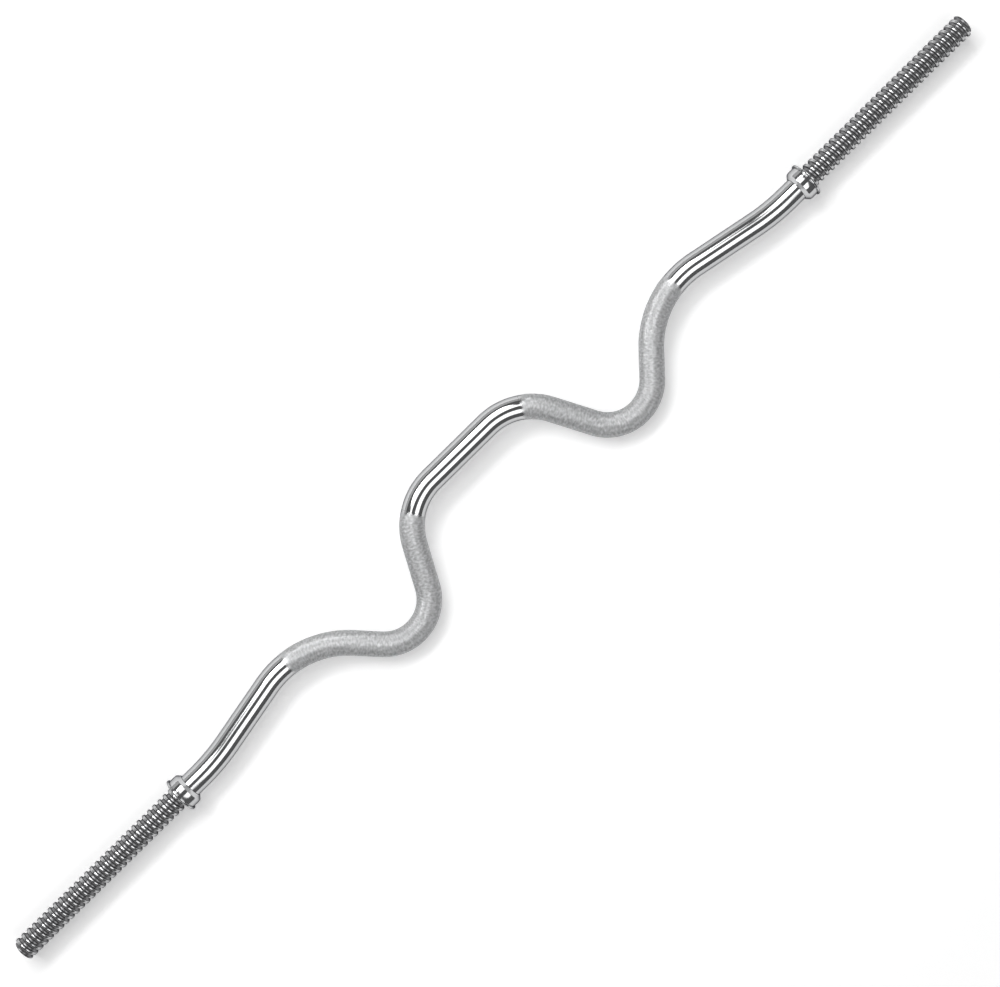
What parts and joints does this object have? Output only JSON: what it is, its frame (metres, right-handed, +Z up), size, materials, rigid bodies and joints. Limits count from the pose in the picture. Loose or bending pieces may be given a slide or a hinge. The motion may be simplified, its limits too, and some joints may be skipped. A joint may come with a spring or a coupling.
{
  "type": "ez curl bar",
  "caption": "Cambered curl bar: a bent solid steel rod with knurled hand zones, pinned plate-stop collars and threaded sleeves that carry standard weight plates.",
  "frame": {"origin": "on the floor under the middle of the bar, straight below the sleeve axis", "axes": "+X along the sleeve axis towards the right sleeve, +Z up from the floor, +Y to the side of the raised centre section. The bar lies on its collar flanges and inner bends, so the plane of its bends leans 7.36 degrees about X from level, with the centre section high. The sleeve axis is level, at y = 0 and z = 19.25 mm."},
  "size_m": [1.32, 0.1227, 0.0385],
  "materials": {
    "bar_chrome": "polished chrome plate, satin where it is knurled or threaded",
    "collar_chrome": "turned and chrome plated",
    "pin_steel": "oiled spring steel"
  },
  "bodies": {
    "root": {"bar": "bar_chrome", "left_collar": "collar_chrome", "right_collar": "collar_chrome", "left_collar_pin": "pin_steel", "right_collar_pin": "pin_steel"}
  },
  "joints": []
}
